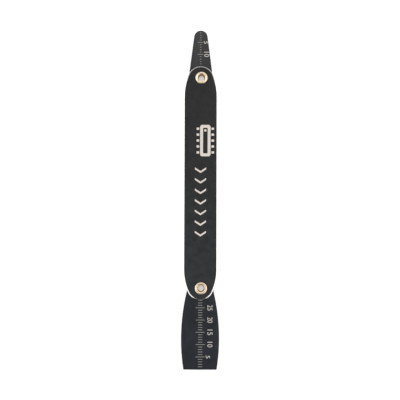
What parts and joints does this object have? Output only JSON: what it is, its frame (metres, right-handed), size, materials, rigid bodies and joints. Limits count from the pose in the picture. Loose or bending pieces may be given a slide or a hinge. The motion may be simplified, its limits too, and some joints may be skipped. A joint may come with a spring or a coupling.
{
  "type": "double-ended spudger",
  "caption": "Rigid double-ended prying tool: narrow round-tipped blade and wide square-ended blade on one steel strip, clamped between black handle plates by brass eyelets.",
  "frame": {"origin": "middle of the tool's length and width, level with the rear faces of the two eyelets, on which the tool rests", "axes": "+Y along the tool towards the narrow round-tipped blade, +Z out of the front face that carries the millimetre scales, +X across the tool to the right when the front face is seen with the narrow blade up"},
  "size_m": [0.0156, 0.14, 0.0038],
  "materials": {
    "black_anodised": "fine-blasted and black anodised, with a bright-cut chamfer round the outer face",
    "blackened_steel": "thin black coating over spring steel, satin, with light laser-etched graduations",
    "eyelet_brass": "bright rolled brass"
  },
  "bodies": {
    "root": {"front_handle_plate": "black_anodised", "rear_handle_plate": "black_anodised", "blade_strip": "blackened_steel", "narrow_end_eyelet": "eyelet_brass", "wide_end_eyelet": "eyelet_brass"}
  },
  "joints": []
}
